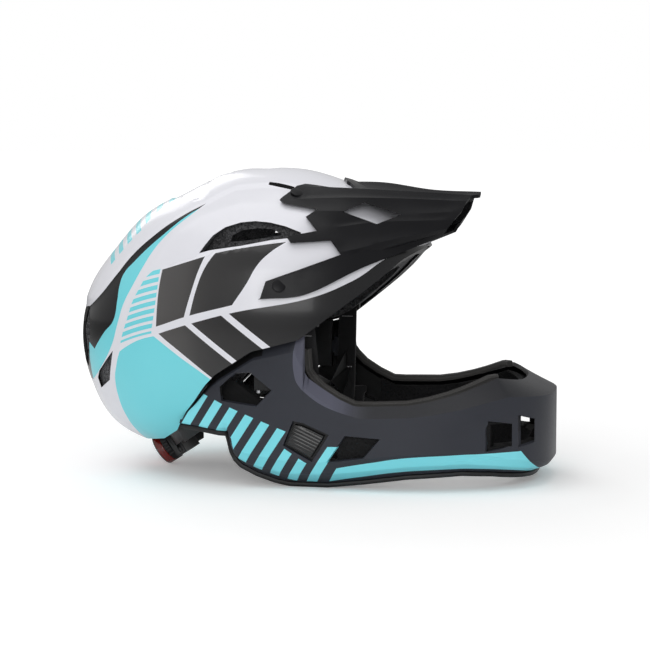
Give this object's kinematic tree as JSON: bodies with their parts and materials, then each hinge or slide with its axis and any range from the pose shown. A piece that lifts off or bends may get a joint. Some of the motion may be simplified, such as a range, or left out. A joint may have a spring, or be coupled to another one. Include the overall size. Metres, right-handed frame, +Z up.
{
  "type": "full face helmet",
  "caption": "Youth full face cycling helmet with a finned visor, padded foam liner, chin guard that slides off, webbing straps and a nape dial.",
  "frame": {"origin": "on the table, at the middle of the helmet's footprint: midway between its sides, and midway between the shell's rear and the guard's tip within 2.3 mm", "axes": "+X forward out of the face port, +Y the wearer's left, +Z up; Z = 0 is the table under the cheeks"},
  "size_m": [0.3734, 0.2142, 0.2346],
  "materials": {
    "shell": "gloss white with charcoal and turquoise graphics",
    "foam": "black expanded polystyrene",
    "trim": "black moulded plastic",
    "visor": "matt black",
    "guard": "satin charcoal with turquoise stripes",
    "rubber": "soft ribbed rubber",
    "padding": "black brushed knit over foam",
    "webbing": "black woven webbing",
    "steel": "plain steel",
    "lens": "translucent red",
    "board": "green circuit board"
  },
  "bodies": {
    "helmet": {"outer_shell": "shell", "foam_liner": "foam", "brow_trim": "trim", "nape_trim": "trim", "visor": "visor", "visor_plugs": "trim", "visor_sockets": "trim", "brow_pad": "padding", "crown_pad": "padding", "side_pad_left": "padding", "side_pad_right": "padding", "rear_pad": "padding", "guard_mount_left": "trim", "guard_mount_right": "trim", "mount_screws": "steel", "front_strap_left": "webbing", "front_strap_right": "webbing", "rear_strap_left": "webbing", "rear_strap_right": "webbing", "strap_anchors": "trim", "strap_divider_left": "trim", "strap_divider_right": "trim", "chin_strap_left": "webbing", "chin_strap_right": "webbing", "buckle_socket": "trim", "nape_bracket": "guard", "dial_housing": "trim", "temple_arm_left": "trim", "temple_arm_right": "trim", "light_case": "trim", "light_lens": "lens", "light_board": "board", "coin_cell": "steel"},
    "chin_guard": {"guard_shell": "guard", "guard_foam": "foam", "guard_edge_trim": "trim", "port_trim": "rubber", "guard_tongue_left": "guard", "latch_housing_left": "trim", "latch_spring_left": "steel", "cheek_pad_left": "padding", "cheek_block_left": "foam", "guard_tongue_right": "guard", "latch_housing_right": "trim", "latch_spring_right": "steel", "cheek_pad_right": "padding", "cheek_block_right": "foam"},
    "button_left": {"latch_button_left": "trim"},
    "button_right": {"latch_button_right": "trim"},
    "dial": {"dial_knob": "trim", "dial_pinion": "trim"},
    "left_band": {"band_left": "trim"},
    "right_band": {"band_right": "trim"},
    "lamp_button": {"light_button": "lens"},
    "clip": {"buckle_clip": "trim"}
  },
  "joints": [
    {"name": "guard_slide", "type": "slide", "parent": "helmet", "child": "chin_guard", "axis": [1, 0, 0], "range_m": [0, 0.022]},
    {"name": "button_left_press", "type": "slide", "parent": "chin_guard", "child": "button_left", "axis": [0, -1, 0], "range_m": [0, 0.003], "stiffness_N_per_m": 200, "springref_m": -0.002, "deforming": ["latch_spring_left"]},
    {"name": "button_right_press", "type": "slide", "parent": "chin_guard", "child": "button_right", "axis": [0, 1, 0], "range_m": [0, 0.003], "stiffness_N_per_m": 200, "springref_m": -0.002, "deforming": ["latch_spring_right"]},
    {"name": "dial_turn", "type": "hinge", "parent": "helmet", "child": "dial", "pos_m": [-0.062, 0, 0.05681], "axis": [-0.832, 0, -0.5548], "range_deg": [-150, 150]},
    {"name": "left_band_slide", "type": "hinge", "parent": "helmet", "child": "left_band", "pos_m": [-0.062, 0, 0.05681], "axis": [-0.5548, 0, 0.832], "range_deg": [-13.8, 13.8]},
    {"name": "right_band_slide", "type": "hinge", "parent": "helmet", "child": "right_band", "pos_m": [-0.062, 0, 0.05681], "axis": [-0.5548, 0, 0.832], "range_deg": [-13.8, 13.8]},
    {"name": "lamp_button_press", "type": "slide", "parent": "helmet", "child": "lamp_button", "axis": [0.832, 0, 0.5548], "range_m": [0, 0.0008], "stiffness_N_per_m": 400, "springref_m": -0.0005},
    {"name": "clip_slide", "type": "slide", "parent": "helmet", "child": "clip", "axis": [0, -1, 0], "range_m": [0, 0.016], "deforming": ["chin_strap_right"]}
  ],
  "couplings": [
    {"joint": "left_band_slide", "follows": "dial_turn", "ratio": 0.091603},
    {"joint": "right_band_slide", "follows": "dial_turn", "ratio": -0.091603}
  ]
}
